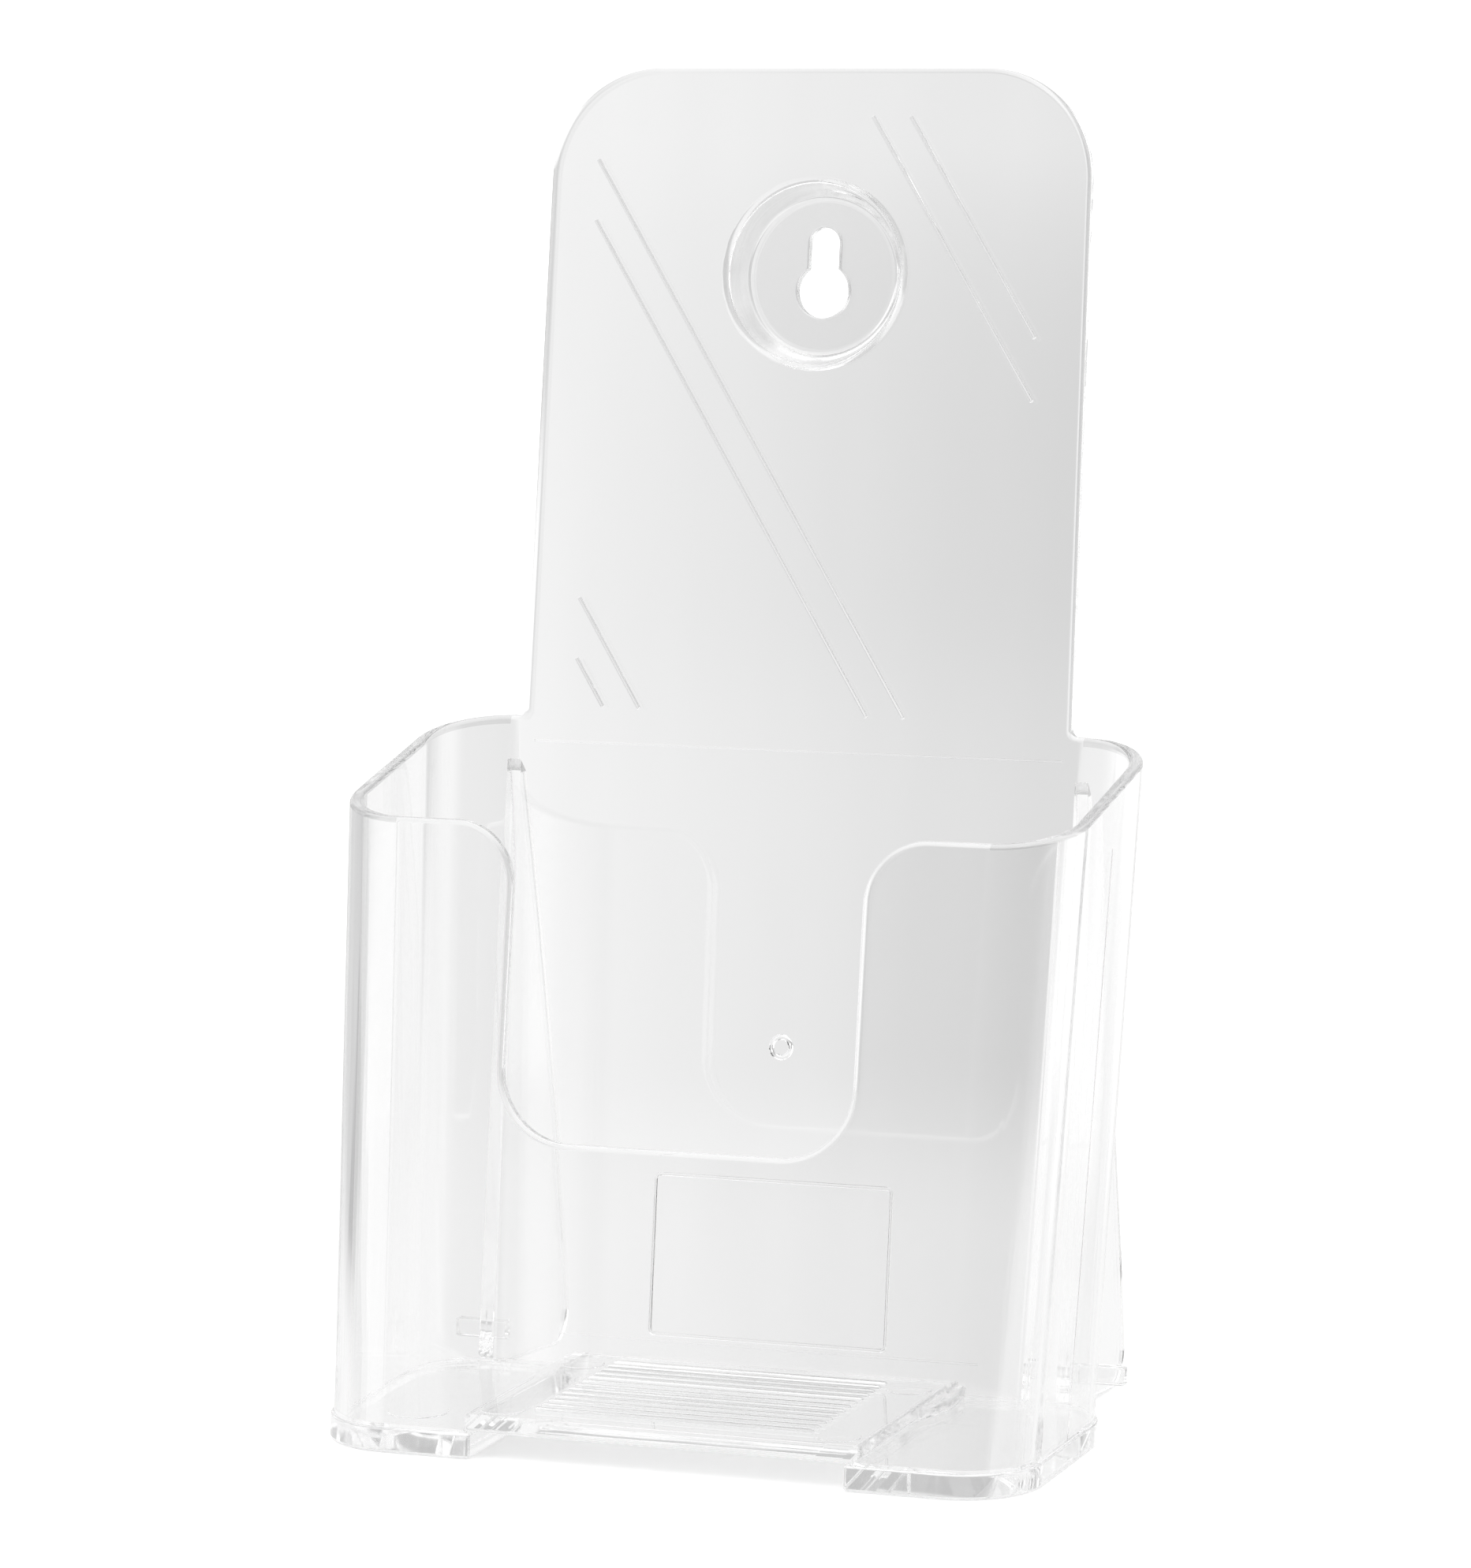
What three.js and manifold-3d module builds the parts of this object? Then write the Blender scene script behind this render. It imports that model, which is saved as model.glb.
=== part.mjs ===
// Single-pocket leaflet rack in clear plastic, with a keyhole for hanging it on a wall.
//
// The real rack is one injection moulding. Here each feature of that moulding is a closed solid of
// its own: walls, corners, floors, platform, panel, cup, fins and tabs, with a fine seam where two meet.
// Millimetres. X runs to the right, Y to the rear and Z up. The origin is on the ground, at the
// middle of the rack's width and depth.

import * as THREE from 'three';
import { mergeVertices } from 'three/addons/utils/BufferGeometryUtils.js';
import Module from 'manifold-3d';

const wasm = await Module();
wasm.setup();

// ---------------------------------------------------------------- driving dimensions

const overallDepth = 76.8;
const wall = 2.0; // thickness of every wall
const seam = 0.3; // clearance where two features of the moulding meet
const sunk = 0.1; // how far a raised detail is rooted in its wall

// Pocket: a rounded rectangle that leans back and widens towards its rim.
const baseWidth = 105.6;
const rimWidth = 111.0;
const baseDepth = 45.5;
const frontLean = THREE.MathUtils.degToRad(9.7);
const rearLean = THREE.MathUtils.degToRad(8.4);
const frontRimHeight = 88.4;
const rearRimHeight = 97.9;
const frontRadius = 11.2;
const rearRadius = 11.6;

// Floor: two feet at the sides and a raised platform between them.
const footLip = 0.5; // the feet stand this far outside the walls
const footHeight = 3.4;
const channelWidth = 55.8; // between the feet, under the platform
const platformWidth = 58.6;
const platformTop = 5.7;
const gripRib = { count: 13, pitch: 2.56, width: 0.9, height: 0.4, length: 42.0, firstY: 8.4 };
const ejectorMark = { height: 0.15, footRadius: 4.4, footX: -40.0, footY: 10.8 };
const platformMark = { radius: 3.2, x: 25.2, frontY: 6.8, rearY: 37.0 };

// Thumb cut-out in the front wall, measured up the wall.
const cutHalfWidth = 26.2;
const cutBottom = 44.8;
const cutInnerRadius = 10.4;
const cutOuterRadius = 9.2;

// Display panel, measured up its own leaning face from the ground.
const panelFoot = 99.2;
const panelTop = 195.1;
const panelFootHalfWidth = 42.4;
const panelTopHalfWidth = 41.8;
const panelRadius = 16.5;

// Glint lines: pairs of fine ridges, all at one slant, clipped by one frame.
const glintSlant = THREE.MathUtils.degToRad(32.4);
const glintOffsets = [112.7, 107.8, 68.3, 63.5, 33.6, 28.8];
const glintFrame = { halfWidth: 34.4, low: 100.7, high: 188.2 };
const glintWidth = 0.6;
const glintHeight = 0.25;

// Cup for the hanging screw, sunk backwards from the panel.
const cupCentre = 165.2;
const cupMouthRadius = 14.2;
const cupLip = 1.0;
const cupFloorRadius = 11.1;
const cupRearRadius = 12.8;
const cupSunk = 4.4;
const cupFloor = 1.6;
const keyhole = { roundRadius: 3.95, roundCentre: 163.0, slotRadius: 2.3, slotCentre: 170.0 };

// Marks on the rear face of the pocket's rear wall.
const label = { width: 37.0, height: 24.0, centre: 20.9, line: 0.5, radius: 1.0, raised: 0.2 };
const gate = { centre: 52.2, outerRadius: 1.9, innerRadius: 1.1, raised: 0.4 };

// Fins behind the pocket, with a short tab outside each one.
const finX = 44.1;
const finThickness = 2.2;
const finTop = 91.4;
const finStep = 2.2; // depth of the blunt top
const finHeelRadius = 5.0;
const finToe = 1.6; // height of the lower edge where it nears the wall
const tab = { width: 6.7, depth: 2.0, height: 2.7, rearY: 54.5, bottom: 4.7 };

// ---------------------------------------------------------------- the pocket's shape

const halfBase = baseWidth / 2;
const rearReach = overallDepth - footLip;
const frontY = (z) => z * Math.tan(frontLean);
const rearY = (z) => baseDepth + z * Math.tan(rearLean);
const spread = (z) => 1 + (rimWidth / baseWidth - 1) * (z / frontRimHeight);
const rimHeight = (back) => THREE.MathUtils.lerp(frontRimHeight, rearRimHeight, back);

// A prism drawn on the pocket's base plan, leaned and widened with the pocket. low and high give its
// bottom and top height; back is 0 at the pocket's front and 1 at its rear.
function pocketPrism(plan, low, high) {
  const geometry = new THREE.ExtrudeGeometry(plan, { depth: 1, bevelEnabled: false, curveSegments: 12 });
  const points = geometry.attributes.position;
  for (let i = 0; i < points.count; i += 1) {
    const back = points.getY(i) / baseDepth;
    const z = THREE.MathUtils.lerp(low(back), high(back), points.getZ(i));
    const y = THREE.MathUtils.lerp(frontY(z), rearY(z), back);
    points.setXYZ(i, points.getX(i) * spread(z), y, z);
  }
  return geometry;
}

const overFeet = () => footHeight + seam;

function sideWallPlan(side) {
  const plan = new THREE.Shape();
  const outer = side * halfBase;
  const inner = side * (halfBase - wall);
  plan.moveTo(outer, frontRadius + seam);
  plan.lineTo(outer, baseDepth - rearRadius - seam);
  plan.lineTo(inner, baseDepth - rearRadius - seam);
  plan.lineTo(inner, frontRadius + seam);
  return plan;
}

// A quarter ring: side is -1 or 1, and toRear is -1 for a front corner and 1 for a rear one.
function cornerPlan(side, toRear) {
  const radius = toRear > 0 ? rearRadius : frontRadius;
  const x = side * (halfBase - radius);
  const y = toRear > 0 ? baseDepth - radius : radius;
  const start = side > 0 ? 0 : Math.PI;
  const end = (toRear * Math.PI) / 2;
  const turn = Math.atan2(Math.sin(end - start), Math.cos(end - start));
  const plan = new THREE.Shape();
  plan.absarc(x, y, radius, start, start + turn, turn < 0);
  plan.absarc(x, y, radius - wall, start + turn, start, turn > 0);
  return plan;
}

// One foot: the base plan with its lip, from the channel outwards.
function footPlan(side) {
  const outer = halfBase + footLip;
  const front = -footLip;
  const rear = baseDepth + footLip;
  const frontRound = frontRadius + footLip;
  const rearRound = rearRadius + footLip;
  const plan = new THREE.Shape();
  plan.moveTo(channelWidth / 2, front);
  plan.lineTo(outer - frontRound, front);
  plan.absarc(outer - frontRound, front + frontRound, frontRound, -Math.PI / 2, 0, false);
  plan.lineTo(outer, rear - rearRound);
  plan.absarc(outer - rearRound, rear - rearRound, rearRound, 0, Math.PI / 2, false);
  plan.lineTo(channelWidth / 2, rear);
  return side > 0 ? plan : mirrored(plan);
}

function mirrored(shape) {
  const points = shape.getPoints(12).map((p) => new THREE.Vector2(-p.x, p.y));
  return new THREE.Shape(points.reverse());
}

// ---------------------------------------------------------------- joining and cutting

function toSolid(geometry) {
  const bare = geometry.clone();
  bare.deleteAttribute('normal');
  bare.deleteAttribute('uv');
  const merged = mergeVertices(bare, 1e-4);
  return new wasm.Manifold(new wasm.Mesh({
    numProp: 3,
    vertProperties: merged.attributes.position.array,
    triVerts: new Uint32Array(merged.index.array),
  }));
}

function toGeometry(solid) {
  const mesh = solid.getMesh();
  const geometry = new THREE.BufferGeometry();
  geometry.setAttribute('position', new THREE.BufferAttribute(mesh.vertProperties, 3));
  geometry.setIndex(new THREE.BufferAttribute(mesh.triVerts, 1));
  geometry.computeVertexNormals();
  return geometry;
}

function join(base, details) {
  return toGeometry(details.reduce((solid, detail) => solid.add(toSolid(detail)), toSolid(base)));
}

function cut(base, tool) {
  return toGeometry(toSolid(base).subtract(toSolid(tool)));
}

// ---------------------------------------------------------------- plates on a leaning wall

// A plate drawn as seen from the front, standing upright, its front face at depth y.
function upright(shape, thickness, y) {
  const options = { depth: thickness, bevelEnabled: false, curveSegments: 16 };
  const geometry = new THREE.ExtrudeGeometry(shape, options);
  geometry.translate(0, 0, -thickness - y);
  return geometry.rotateX(Math.PI / 2);
}

// The side edge of a flat wall, which widens with the pocket: its half width at a height.
const flatEdge = (radius, height) => (halfBase - radius) * spread(height) - seam;

// Height up a leaning wall at which the wall's lowest edge clears a level surface.
const clearOf = (level, lean) => (level + seam + wall * Math.sin(lean)) / Math.cos(lean);

// The outline's lower edge: over both feet and, higher, over the platform.
function lowerEdge(shape, lean, radius) {
  const low = clearOf(footHeight, lean);
  const step = clearOf(platformTop, lean);
  const stepX = platformWidth / 2 + seam;
  shape.moveTo(-flatEdge(radius, low), low);
  shape.lineTo(-stepX, low);
  shape.lineTo(-stepX, step);
  shape.lineTo(stepX, step);
  shape.lineTo(stepX, low);
  shape.lineTo(flatEdge(radius, low), low);
}

function frontWall() {
  const top = frontRimHeight / Math.cos(frontLean);
  const edge = flatEdge(frontRadius, frontRimHeight);
  const outerX = cutHalfWidth + cutOuterRadius;
  const outerY = top - cutOuterRadius;
  const innerX = cutHalfWidth - cutInnerRadius;
  const innerY = cutBottom + cutInnerRadius;
  const right = Math.PI / 2;
  const shape = new THREE.Shape();
  lowerEdge(shape, frontLean, frontRadius);
  shape.lineTo(edge, top);
  shape.absarc(outerX, outerY, cutOuterRadius, right, 2 * right, false);
  shape.absarc(innerX, innerY, cutInnerRadius, 0, -right, true);
  shape.absarc(-innerX, innerY, cutInnerRadius, -right, -2 * right, true);
  shape.absarc(-outerX, outerY, cutOuterRadius, 0, right, false);
  shape.lineTo(-edge, top);
  return upright(shape, wall, 0);
}

function rectangle(width, height, radius, centre) {
  const x = width / 2 - radius;
  const y = height / 2 - radius;
  const path = new THREE.Path();
  path.absarc(x, centre + y, radius, 0, Math.PI / 2, false);
  path.absarc(-x, centre + y, radius, Math.PI / 2, Math.PI, false);
  path.absarc(-x, centre - y, radius, Math.PI, 1.5 * Math.PI, false);
  path.absarc(x, centre - y, radius, 1.5 * Math.PI, 2 * Math.PI, false);
  return path;
}

function labelOutline() {
  const { width, height, radius, centre, line } = label;
  const shape = new THREE.Shape(rectangle(width, height, radius, centre).getPoints(4));
  shape.holes.push(rectangle(width - 2 * line, height - 2 * line, radius - line, centre));
  return upright(shape, label.raised + sunk, wall - sunk);
}

function gateMark() {
  const shape = new THREE.Shape();
  shape.absarc(0, gate.centre, gate.outerRadius, 0, 2 * Math.PI, false);
  const hole = new THREE.Path();
  hole.absarc(0, gate.centre, gate.innerRadius, 0, 2 * Math.PI, false);
  shape.holes.push(hole);
  return upright(shape, gate.raised + sunk, wall - sunk);
}

function rearWall() {
  const top = panelFoot - seam;
  const edge = flatEdge(rearRadius, rearRimHeight);
  const shape = new THREE.Shape();
  lowerEdge(shape, rearLean, rearRadius);
  shape.lineTo(edge, top);
  shape.lineTo(-edge, top);
  return join(upright(shape, wall, 0), [labelOutline(), gateMark()]);
}

// One glint ridge: the part of a slanted line that lies inside the frame.
function glintRidge(offset) {
  const along = new THREE.Vector2(Math.sin(glintSlant), -Math.cos(glintSlant));
  const across = new THREE.Vector2(Math.cos(glintSlant), Math.sin(glintSlant));
  const nearest = across.clone().multiplyScalar(offset);
  const reach = (limit, origin, speed) => (limit - origin) / speed;
  const start = Math.max(
    reach(-glintFrame.halfWidth, nearest.x, along.x),
    reach(glintFrame.high, nearest.y, along.y),
  );
  const end = Math.min(
    reach(glintFrame.halfWidth, nearest.x, along.x),
    reach(glintFrame.low, nearest.y, along.y),
  );
  const middle = nearest.addScaledVector(along, (start + end) / 2);
  const ridge = new THREE.BoxGeometry(glintWidth, glintHeight + sunk, end - start);
  ridge.rotateY(-glintSlant);
  return ridge.translate(middle.x, (sunk - glintHeight) / 2, middle.y);
}

function displayPanel() {
  const arcY = panelTop - panelRadius;
  const arcX = panelTopHalfWidth - panelRadius;
  const shape = new THREE.Shape();
  shape.moveTo(-panelFootHalfWidth, panelFoot);
  shape.lineTo(panelFootHalfWidth, panelFoot);
  shape.absarc(arcX, arcY, panelRadius, 0, Math.PI / 2, false);
  shape.absarc(-arcX, arcY, panelRadius, Math.PI / 2, Math.PI, false);
  const hole = new THREE.Path();
  hole.absarc(0, cupCentre, cupMouthRadius + seam, 0, 2 * Math.PI, false);
  shape.holes.push(hole);
  return join(upright(shape, wall, 0), glintOffsets.map(glintRidge));
}

function keyholeShape() {
  const { roundRadius, roundCentre, slotRadius, slotCentre } = keyhole;
  const half = Math.asin(slotRadius / roundRadius);
  const shape = new THREE.Shape();
  shape.absarc(0, roundCentre, roundRadius, Math.PI / 2 + half, 2.5 * Math.PI - half, false);
  shape.absarc(0, slotCentre, slotRadius, 0, Math.PI, false);
  return shape;
}

// The cup turns about the wall's own normal: each profile point is a radius and a depth behind the
// panel's front face.
function keyholeCup() {
  const rear = cupSunk + cupFloor;
  const profile = [
    [0, cupSunk],
    [cupFloorRadius, cupSunk],
    [cupMouthRadius - cupLip, 0],
    [cupMouthRadius, 0],
    [cupMouthRadius, wall],
    [cupRearRadius, rear],
    [0, rear],
  ].map(([radius, depth]) => new THREE.Vector2(radius, depth));
  const cup = new THREE.LatheGeometry(profile, 48).translate(0, 0, cupCentre);
  return cut(cup, upright(keyholeShape(), 4 * rear, -rear));
}

// ---------------------------------------------------------------- fins, tabs, feet and platform

// The fin as seen from its side: X is depth and Y is height.
function finShape() {
  const root = (z) => rearY(z) + seam;
  const shape = new THREE.Shape();
  shape.moveTo(root(overFeet()), overFeet());
  shape.lineTo(root(finTop), finTop);
  shape.lineTo(root(finTop) + finStep, finTop);
  shape.quadraticCurveTo(rearReach - finHeelRadius, (finTop + finHeelRadius) / 2, rearReach, finHeelRadius);
  shape.absarc(rearReach - finHeelRadius, finHeelRadius, finHeelRadius, 0, -Math.PI / 2, true);
  shape.lineTo(root(finToe) + 2 * wall, finToe);
  return shape;
}

function fin(side) {
  const options = { depth: finThickness, bevelEnabled: false, curveSegments: 12 };
  const geometry = new THREE.ExtrudeGeometry(finShape(), options);
  geometry.translate(0, 0, -finThickness / 2);
  geometry.rotateX(Math.PI / 2).rotateZ(Math.PI / 2);
  return geometry.translate(side * finX, 0, 0);
}

function disc(radius, height, x, y, bottom) {
  const geometry = new THREE.CylinderGeometry(radius, radius, height, 32);
  return geometry.rotateX(Math.PI / 2).translate(x, y, bottom + height / 2);
}

function foot(side) {
  const slab = pocketPrism(footPlan(side), () => 0, () => footHeight);
  if (side > 0) return slab; // only the left foot has an ejector mark
  const { height, footRadius, footX, footY } = ejectorMark;
  return join(slab, [disc(footRadius, height + sunk, footX, footY, footHeight - sunk)]);
}

function platform() {
  const half = platformWidth / 2;
  const plan = new THREE.Shape();
  plan.moveTo(-half, 0);
  plan.lineTo(half, 0);
  plan.lineTo(half, baseDepth);
  plan.lineTo(-half, baseDepth);
  const plate = pocketPrism(plan, overFeet, () => platformTop);
  const details = [];
  for (let i = 0; i < gripRib.count; i += 1) {
    const rib = new THREE.BoxGeometry(gripRib.length, gripRib.width, gripRib.height + sunk);
    const middle = platformTop + (gripRib.height - sunk) / 2;
    details.push(rib.translate(0, gripRib.firstY + i * gripRib.pitch, middle));
  }
  for (const side of [-1, 1]) {
    for (const y of [platformMark.frontY, platformMark.rearY]) {
      const height = ejectorMark.height + sunk;
      details.push(disc(platformMark.radius, height, side * platformMark.x, y, platformTop - sunk));
    }
  }
  return join(plate, details);
}

// ---------------------------------------------------------------- the scene graph

const rack = new THREE.Group();

const clearPlastic = () => new THREE.MeshStandardMaterial({
  color: 0xeef2f3,
  roughness: 0.06,
  metalness: 0,
  transparent: true,
  opacity: 0.35,
});

function place(parent, name, geometry) {
  const mesh = new THREE.Mesh(geometry, clearPlastic());
  mesh.name = name;
  parent.add(mesh);
  return mesh;
}

// Everything below stands in a frame whose Y starts at the front wall's foot.
const moulding = new THREE.Group();
moulding.position.y = footLip - overallDepth / 2;
rack.add(moulding);

const frontFrame = new THREE.Group();
frontFrame.rotation.x = -frontLean;
moulding.add(frontFrame);
place(frontFrame, 'front_wall', frontWall());

const rearFrame = new THREE.Group();
rearFrame.position.y = baseDepth - wall / Math.cos(rearLean);
rearFrame.rotation.x = -rearLean;
moulding.add(rearFrame);
place(rearFrame, 'rear_wall', rearWall());
place(rearFrame, 'display_panel', displayPanel());
place(rearFrame, 'keyhole_cup', keyholeCup());

place(moulding, 'platform', platform());

for (const [hand, side] of [['left', -1], ['right', 1]]) {
  place(moulding, `${hand}_foot`, foot(side));
  place(moulding, `${hand}_side_wall`, pocketPrism(sideWallPlan(side), overFeet, rimHeight));
  place(moulding, `front_${hand}_corner`, pocketPrism(cornerPlan(side, -1), overFeet, rimHeight));
  place(moulding, `rear_${hand}_corner`, pocketPrism(cornerPlan(side, 1), overFeet, rimHeight));
  place(moulding, `${hand}_fin`, fin(side));
  const bar = place(moulding, `${hand}_tab`, new THREE.BoxGeometry(tab.width, tab.depth, tab.height));
  const tabX = finX + finThickness / 2 + seam + tab.width / 2;
  bar.position.set(side * tabX, tab.rearY - tab.depth / 2, tab.bottom + tab.height / 2);
}

export default rack;
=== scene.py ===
from math import asin, atan2, cos, degrees, pi, radians, sin, tan

import bmesh
import bpy
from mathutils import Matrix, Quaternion, Vector


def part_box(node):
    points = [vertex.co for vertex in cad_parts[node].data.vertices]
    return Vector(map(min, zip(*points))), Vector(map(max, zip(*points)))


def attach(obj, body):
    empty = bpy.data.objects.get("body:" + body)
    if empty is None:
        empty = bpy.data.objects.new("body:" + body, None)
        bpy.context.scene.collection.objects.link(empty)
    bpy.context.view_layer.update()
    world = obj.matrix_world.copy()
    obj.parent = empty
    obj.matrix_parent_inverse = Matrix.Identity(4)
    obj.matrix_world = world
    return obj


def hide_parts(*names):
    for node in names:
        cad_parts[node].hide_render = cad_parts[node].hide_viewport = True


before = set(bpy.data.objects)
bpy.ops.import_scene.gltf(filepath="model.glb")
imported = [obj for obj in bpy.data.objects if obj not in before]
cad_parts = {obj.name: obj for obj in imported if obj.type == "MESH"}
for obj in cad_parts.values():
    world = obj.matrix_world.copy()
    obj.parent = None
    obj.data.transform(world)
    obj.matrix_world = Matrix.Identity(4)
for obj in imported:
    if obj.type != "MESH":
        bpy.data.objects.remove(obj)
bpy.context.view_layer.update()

# A clear leaflet rack, moulded in one shot. The looks are one continuous clear body, because any seam
# inside clear plastic would show. The rack's lengths are millimetres until they reach a mesh, and the
# studio's are metres.

MM = 0.001

# ---------------------------------------------------------------- driving dimensions

WALL = 2.0
EDGE = 0.35  # rounding of the feet and of the cup's rear edge
SMALL_EDGE = 0.3  # rounding of the platform, fins, tabs and keyhole
RIM_EDGE = 0.7  # rounding of the rim, the thumb cut-out and the panel
SUNK = 0.3  # how deep a raised detail is rooted in what carries it

BASE_WIDTH = 105.6
RIM_WIDTH = 111.0
BASE_DEPTH = 45.5
FRONT_LEAN = radians(9.7)
REAR_LEAN = radians(8.4)
FRONT_RADIUS = 11.2
REAR_RADIUS = 11.6
CORNER_STEPS = 20

FOOT_LIP = 0.5
FOOT_HEIGHT = 3.4
CHANNEL = 27.9  # half the gap between the feet
PLATFORM_HALF = 29.3
PLATFORM_TOP = 5.7
PLATFORM_BOTTOM = 3.6

CUT_HALF = 26.2
CUT_BOTTOM = 44.8
CUT_INNER_RADIUS = 10.4
CUT_OUTER_RADIUS = 9.2

PANEL_FOOT_HALF = 42.4
PANEL_TOP_HALF = 41.8
PANEL_RADIUS = 16.5
SHOULDER_FILLET = 1.0


def box_mm(node):
    """A CAD node's lowest and highest corners in millimetres."""
    low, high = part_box(node)
    return low / MM, high / MM


FRONT_Y = box_mm("right_foot")[0].y + FOOT_LIP  # where the front wall meets the ground
FRONT_RIM = box_mm("front_wall")[1].z
REAR_RIM = box_mm("rear_right_corner")[1].z
PANEL_TOP = box_mm("display_panel")[1].z

HALF_BASE = BASE_WIDTH / 2
REAR_FACE_Y = BASE_DEPTH - WALL / cos(REAR_LEAN)  # the rear wall's front face, at the ground


# ---------------------------------------------------------------- where things lie on the pocket


def mix(a, b, share):
    return a + (b - a) * share


def spread(z):
    """How much wider the pocket is at a height than at its base."""
    return 1 + (RIM_WIDTH / BASE_WIDTH - 1) * z / FRONT_RIM


def front_y(z):
    return z * tan(FRONT_LEAN)


def rear_y(z):
    return BASE_DEPTH + z * tan(REAR_LEAN)


def rim_height(back):
    return mix(FRONT_RIM, REAR_RIM, back)


def metres(x, y, z):
    """A point of the foot's frame, whose Y starts at the front wall's foot, in the row frame."""
    return Vector((x, y + FRONT_Y, z)) * MM


def leaned(x, y, z):
    """A point of the base plan, carried up to a height as the pocket leans and widens."""
    return metres(x * spread(z), mix(front_y(z), rear_y(z), y / BASE_DEPTH), z)


def on_rear(x, height, depth):
    """A point on the rear wall: height is up the wall, and depth is behind its front face."""
    y = REAR_FACE_Y + height * sin(REAR_LEAN) + depth * cos(REAR_LEAN)
    return metres(x, y, height * cos(REAR_LEAN) - depth * sin(REAR_LEAN))


# The pocket's base outline is walked from the middle of the front, to the right and round.
FRONT_RUN = HALF_BASE - FRONT_RADIUS
FRONT_TURN = FRONT_RADIUS * pi / 2
SIDE_RUN = BASE_DEPTH - FRONT_RADIUS - REAR_RADIUS
REAR_TURN = REAR_RADIUS * pi / 2
REAR_RUN = HALF_BASE - REAR_RADIUS
SIDE_START = FRONT_RUN + FRONT_TURN
REAR_CORNER_START = SIDE_START + SIDE_RUN
REAR_START = REAR_CORNER_START + REAR_TURN
HALF_ROUND = REAR_START + REAR_RUN


def walk(s):
    """The base outline's point and outward normal at a distance walked: x, y, normal x, normal y."""
    if s > HALF_ROUND:
        x, y, nx, ny = walk(2 * HALF_ROUND - s)
        return -x, y, -nx, ny
    if s <= FRONT_RUN:
        return s, 0.0, 0.0, -1.0
    if s <= SIDE_START:
        a = (s - FRONT_RUN) / FRONT_RADIUS
        return FRONT_RUN + FRONT_RADIUS * sin(a), FRONT_RADIUS * (1 - cos(a)), sin(a), -cos(a)
    if s <= REAR_CORNER_START:
        return HALF_BASE, FRONT_RADIUS + s - SIDE_START, 1.0, 0.0
    if s <= REAR_START:
        a = (s - REAR_CORNER_START) / REAR_RADIUS
        y = BASE_DEPTH - REAR_RADIUS + REAR_RADIUS * sin(a)
        return REAR_RUN + REAR_RADIUS * cos(a), y, cos(a), sin(a)
    return HALF_ROUND - s, BASE_DEPTH, 0.0, 1.0


def wrapped(s, z, depth):
    """A point of the unrolled pocket wall, wrapped round the pocket. depth is inwards."""
    x, y, nx, ny = walk(s)
    back = y / BASE_DEPTH
    inwards = depth / cos(mix(FRONT_LEAN, REAR_LEAN, back))
    outside_y = mix(front_y(z), rear_y(z), back)
    return metres(x * spread(z) - nx * inwards, outside_y - ny * inwards, z)


# ---------------------------------------------------------------- outlines


def arc(x, y, radius, start, end, steps):
    """Points on a circle, from one angle to another in degrees."""
    angles = [radians(mix(start, end, i / steps)) for i in range(steps + 1)]
    return [(x + radius * cos(a), y + radius * sin(a)) for a in angles]


def circle(x, y, radius, steps=64):
    return arc(x, y, radius, 0, 360, steps)[:-1]


def rectangle(width, height, radius, x=0.0, y=0.0, steps=4):
    """A rectangle with round corners, walked anticlockwise."""
    across = width / 2 - radius
    up = height / 2 - radius
    points = []
    for i, (sx, sy) in enumerate([(1, 1), (-1, 1), (-1, -1), (1, -1)]):
        points += arc(x + sx * across, y + sy * up, radius, 90 * i, 90 * i + 90, steps)
    return points


def edge_normal(a, b):
    edge = Vector((b[0] - a[0], b[1] - a[1])).normalized()
    return Vector((edge.y, -edge.x))


def inset(outline, amount):
    """An anticlockwise outline with each edge moved inwards, or outwards by a negative amount."""
    moved = []
    for i, here in enumerate(outline):
        first = edge_normal(outline[i - 1], here)
        second = edge_normal(here, outline[(i + 1) % len(outline)])
        moved.append(Vector(here) - (first + second) * amount / (1 + first.dot(second)))
    return moved


def rounded(thickness, radius=EDGE, steps=3):
    """The profile of a plate with both edges rounded: how far in, and how deep, at each step across."""
    turns = [pi / 2 * k / steps for k in range(steps + 1)]
    near = [(radius * (1 - sin(t)), radius * (1 - cos(t))) for t in turns]
    return near + [(amount, thickness - depth) for amount, depth in reversed(near)]


def domed(height, half_width, steps=3):
    """The profile of a raised detail: rooted below the surface, at depth 0, and domed above it."""
    turns = [pi / 2 * k / steps for k in range(steps + 1)]
    return [(0.0, SUNK)] + [(half_width * (1 - cos(t)), -height * sin(t)) for t in turns]


# ---------------------------------------------------------------- meshes


def mesh_object(name, bm):
    bmesh.ops.recalc_face_normals(bm, faces=bm.faces)
    mesh = bpy.data.meshes.new(name)
    bm.to_mesh(mesh)
    bm.free()
    made = bpy.data.objects.new(name, mesh)
    bpy.context.scene.collection.objects.link(made)
    return made


def band(bm, first, second):
    """Quads between two rings of points."""
    for i in range(len(first)):
        j = (i + 1) % len(first)
        bm.faces.new((first[i], first[j], second[j], second[i]))


def add_solid(bm, outline, profile, place, ring=False):
    """A solid whose outline is carried through a profile. A ring's profile closes on itself."""
    rings = []
    for amount, depth in profile:
        rings.append([bm.verts.new(place(u, v, depth)) for u, v in inset(outline, amount)])
    for first, second in zip(rings, rings[1:]):
        band(bm, first, second)
    if ring:
        band(bm, rings[-1], rings[0])
    else:
        bm.faces.new(rings[0])
        bm.faces.new(list(reversed(rings[-1])))


def solids(name, parts):
    """One mesh of separate solids, each given as outline, profile, place and, for a ring, True."""
    bm = bmesh.new()
    for part in parts:
        add_solid(bm, *part)
    return mesh_object(name, bm)


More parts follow.
